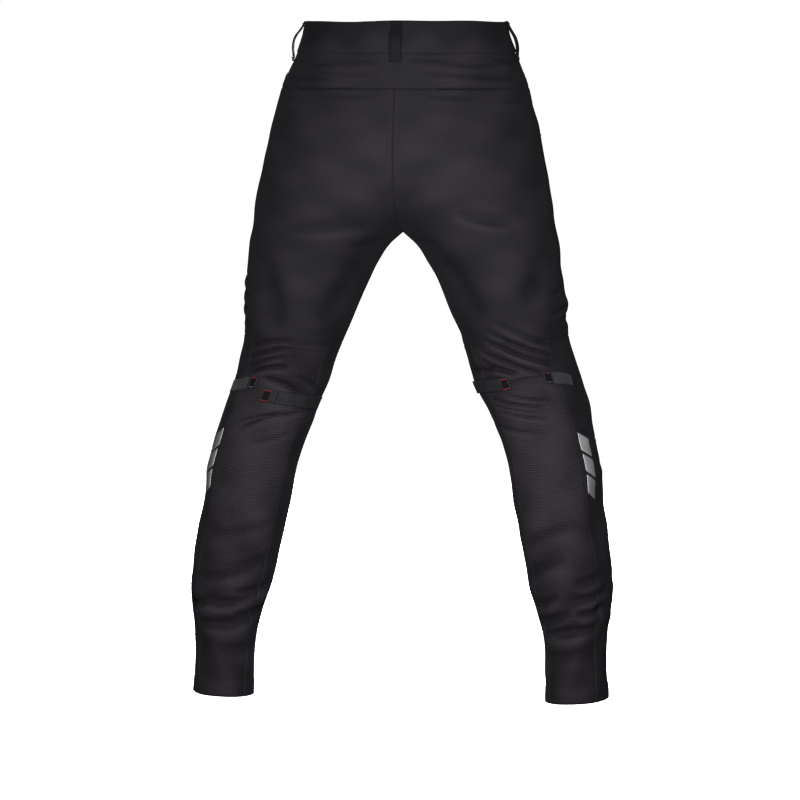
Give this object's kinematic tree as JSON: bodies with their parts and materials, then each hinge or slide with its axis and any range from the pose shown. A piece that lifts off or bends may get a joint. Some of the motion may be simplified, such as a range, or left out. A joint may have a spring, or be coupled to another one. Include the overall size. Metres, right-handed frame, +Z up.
{
  "type": "motorcycle trousers",
  "caption": "Black riding trousers in worn shape: yoke, slanted pockets, bulged knee panels, ribbed stretch calves, knee straps, belt loops and reflecting patches.",
  "frame": {"origin": "centre of the waist opening, half-way down the waistband, where the wearer holds the trousers up", "axes": "+Z up, the front faces -Y, the wearer's left side is +X"},
  "size_m": [0.6101, 0.2626, 0.972],
  "materials": {
    "shell_cloth": "matt black laminated stretch cloth",
    "stretch_cloth": "ribbed black stretch cloth",
    "pocket_cloth": "plain black pocket cloth",
    "strap_webbing": "dark grey napped strap",
    "reflecting_film": "silver grey reflecting film",
    "dark_metal": "dark enamelled snap"
  },
  "bodies": {
    "root": {"back_panel_left": "shell_cloth", "back_panel_right": "shell_cloth", "back_yoke": "shell_cloth", "calf_inner_left": "shell_cloth", "calf_inner_right": "shell_cloth", "calf_outer_left": "shell_cloth", "calf_outer_right": "shell_cloth", "fly_flap": "shell_cloth", "front_panel_left": "shell_cloth", "front_panel_right": "shell_cloth", "knee_panel_left": "shell_cloth", "knee_panel_right": "shell_cloth", "loop_back": "shell_cloth", "loop_front_left": "shell_cloth", "loop_front_right": "shell_cloth", "loop_left": "shell_cloth", "loop_right": "shell_cloth", "pocket_facing_left": "pocket_cloth", "pocket_facing_right": "pocket_cloth", "reflector_low_left": "reflecting_film", "reflector_low_right": "reflecting_film", "reflector_middle_left": "reflecting_film", "reflector_middle_right": "reflecting_film", "reflector_top_left": "reflecting_film", "reflector_top_right": "reflecting_film", "rib_panel_left": "stretch_cloth", "rib_panel_right": "stretch_cloth", "shin_panel_left": "shell_cloth", "shin_panel_right": "shell_cloth", "strap_inner_left": "strap_webbing", "strap_inner_right": "strap_webbing", "strap_inner_tab_left": "strap_webbing", "strap_inner_tab_right": "strap_webbing", "strap_outer_left": "strap_webbing", "strap_outer_right": "strap_webbing", "strap_outer_tab_left": "strap_webbing", "strap_outer_tab_right": "strap_webbing", "waist_snap": "dark_metal", "waistband": "shell_cloth", "waistband_tab": "shell_cloth"}
  },
  "joints": []
}
